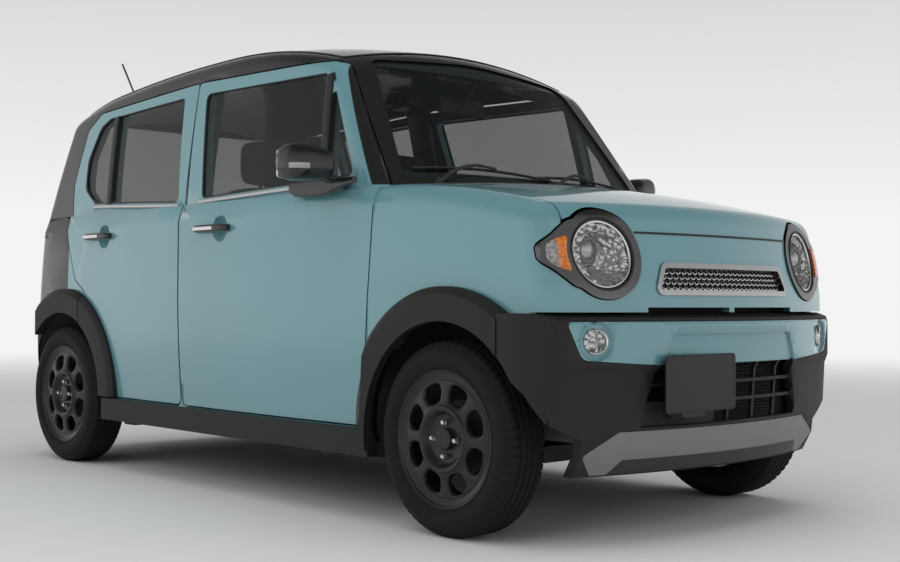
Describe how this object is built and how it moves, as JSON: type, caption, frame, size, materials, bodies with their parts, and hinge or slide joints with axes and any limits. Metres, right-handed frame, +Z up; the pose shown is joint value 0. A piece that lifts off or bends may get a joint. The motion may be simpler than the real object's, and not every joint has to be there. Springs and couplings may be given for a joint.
{
  "type": "kei car",
  "caption": "Small tall passenger car with round headlamps, opening doors, hood and tailgate, a trimmed cabin and steered front wheels.",
  "frame": {"origin": "on the ground under the middle of the car's length and width", "axes": "+X to the front of the car, +Y to its left side, +Z up"},
  "size_m": [3.395, 1.796, 1.7724],
  "materials": {
    "amber_lens": "gloss",
    "body_blue": "gloss",
    "cabin_dark": "matte",
    "charcoal": "matte",
    "chrome": "polished",
    "clear_lens": "clear",
    "dark_mesh": "gloss",
    "engine_alloy": "matte",
    "glass": "clear",
    "gloss_black": "gloss",
    "grey_plastic": "satin",
    "plate_black": "satin",
    "red_lens": "gloss",
    "running_gear": "matte",
    "seat_fabric": "woven",
    "tyre": "matte",
    "wheel_black": "satin"
  },
  "bodies": {
    "body": {"antenna": "cabin_dark", "bumper_bar": "body_blue", "claddings": "charcoal", "cowl": "charcoal", "dashboard": "cabin_dark", "engine": "engine_alloy", "fog_lamps": "clear_lens", "front_bumper": "charcoal", "front_suspension": "running_gear", "grille": "dark_mesh", "grille_surround": "chrome", "headlamp_bezels": "chrome", "headlamp_bowls": "chrome", "headlamp_lenses": "clear_lens", "indicators": "amber_lens", "inside_mirror": "cabin_dark", "lower_body": "body_blue", "nose_panel": "body_blue", "number_plate": "plate_black", "rear_axle": "running_gear", "rear_bumper": "charcoal", "roof_panel": "gloss_black", "seats": "seat_fabric", "skid_plate": "grey_plastic", "tail_lamps": "red_lens", "upper_frame": "gloss_black", "windscreen": "glass", "wings": "body_blue"},
    "hood": {"hood_panel": "body_blue"},
    "tailgate": {"tailgate_panel": "body_blue", "tailgate_glass": "glass"},
    "knuckle_left": {"knuckle_left": "running_gear"},
    "knuckle_right": {"knuckle_right": "running_gear"},
    "steering_wheel": {"steering_wheel": "cabin_dark"},
    "door_front_left": {"door_front_left_panel": "body_blue", "door_front_left_glass": "glass", "door_front_left_trim": "charcoal"},
    "wheel_front_left": {"tyre_front_left": "tyre", "rim_front_left": "wheel_black"},
    "door_front_right": {"door_front_right_panel": "body_blue", "door_front_right_glass": "glass", "door_front_right_trim": "charcoal"},
    "wheel_front_right": {"tyre_front_right": "tyre", "rim_front_right": "wheel_black"},
    "door_rear_left": {"door_rear_left_panel": "body_blue", "door_rear_left_glass": "glass", "door_rear_left_trim": "charcoal"},
    "wheel_rear_left": {"tyre_rear_left": "tyre", "rim_rear_left": "wheel_black"},
    "door_rear_right": {"door_rear_right_panel": "body_blue", "door_rear_right_glass": "glass", "door_rear_right_trim": "charcoal"},
    "wheel_rear_right": {"tyre_rear_right": "tyre", "rim_rear_right": "wheel_black"}
  },
  "joints": [
    {"name": "door_front_left_hinge", "type": "hinge", "parent": "body", "child": "door_front_left", "pos_m": [0.835, 0.722, 0.7], "axis": [0, 0, -1], "range_deg": [0, 65]},
    {"name": "door_rear_left_hinge", "type": "hinge", "parent": "body", "child": "door_rear_left", "pos_m": [-0.299, 0.724, 0.7], "axis": [0, 0, -1], "range_deg": [0, 68]},
    {"name": "door_front_right_hinge", "type": "hinge", "parent": "body", "child": "door_front_right", "pos_m": [0.835, -0.722, 0.7], "axis": [0, 0, 1], "range_deg": [0, 65]},
    {"name": "door_rear_right_hinge", "type": "hinge", "parent": "body", "child": "door_rear_right", "pos_m": [-0.299, -0.724, 0.7], "axis": [0, 0, 1], "range_deg": [0, 68]},
    {"name": "hood_hinge", "type": "hinge", "parent": "body", "child": "hood", "pos_m": [0.848, 0, 1.091], "axis": [0, -1, 0], "range_deg": [0, 58]},
    {"name": "tailgate_hinge", "type": "hinge", "parent": "body", "child": "tailgate", "pos_m": [-1.3895, 0, 1.566], "axis": [0, 1, 0], "range_deg": [0, 82]},
    {"name": "steer_left", "type": "hinge", "parent": "body", "child": "knuckle_left", "pos_m": [1.1675, 0.6, 0.18], "axis": [0, -0.221, 0.9753], "range_deg": [-33, 33]},
    {"name": "wheel_front_left_spin", "type": "hinge", "parent": "knuckle_left", "child": "wheel_front_left", "pos_m": [1.1675, 0.645, 0.288], "axis": [0, 1, 0], "continuous": true},
    {"name": "wheel_rear_left_spin", "type": "hinge", "parent": "body", "child": "wheel_rear_left", "pos_m": [-1.2575, 0.645, 0.288], "axis": [0, 1, 0], "continuous": true},
    {"name": "steer_right", "type": "hinge", "parent": "body", "child": "knuckle_right", "pos_m": [1.1675, -0.6, 0.18], "axis": [0, 0.221, 0.9753], "range_deg": [-33, 33]},
    {"name": "wheel_front_right_spin", "type": "hinge", "parent": "knuckle_right", "child": "wheel_front_right", "pos_m": [1.1675, -0.645, 0.288], "axis": [0, 1, 0], "continuous": true},
    {"name": "wheel_rear_right_spin", "type": "hinge", "parent": "body", "child": "wheel_rear_right", "pos_m": [-1.2575, -0.645, 0.288], "axis": [0, 1, 0], "continuous": true},
    {"name": "steering_wheel_turn", "type": "hinge", "parent": "body", "child": "steering_wheel", "pos_m": [0.43, -0.33, 0.905], "axis": [-0.836, 0, 0.5487], "range_deg": [-470, 470]}
  ],
  "couplings": [
    {"joint": "steer_right", "follows": "steer_left", "ratio": 1},
    {"joint": "steering_wheel_turn", "follows": "steer_left", "ratio": 14}
  ]
}
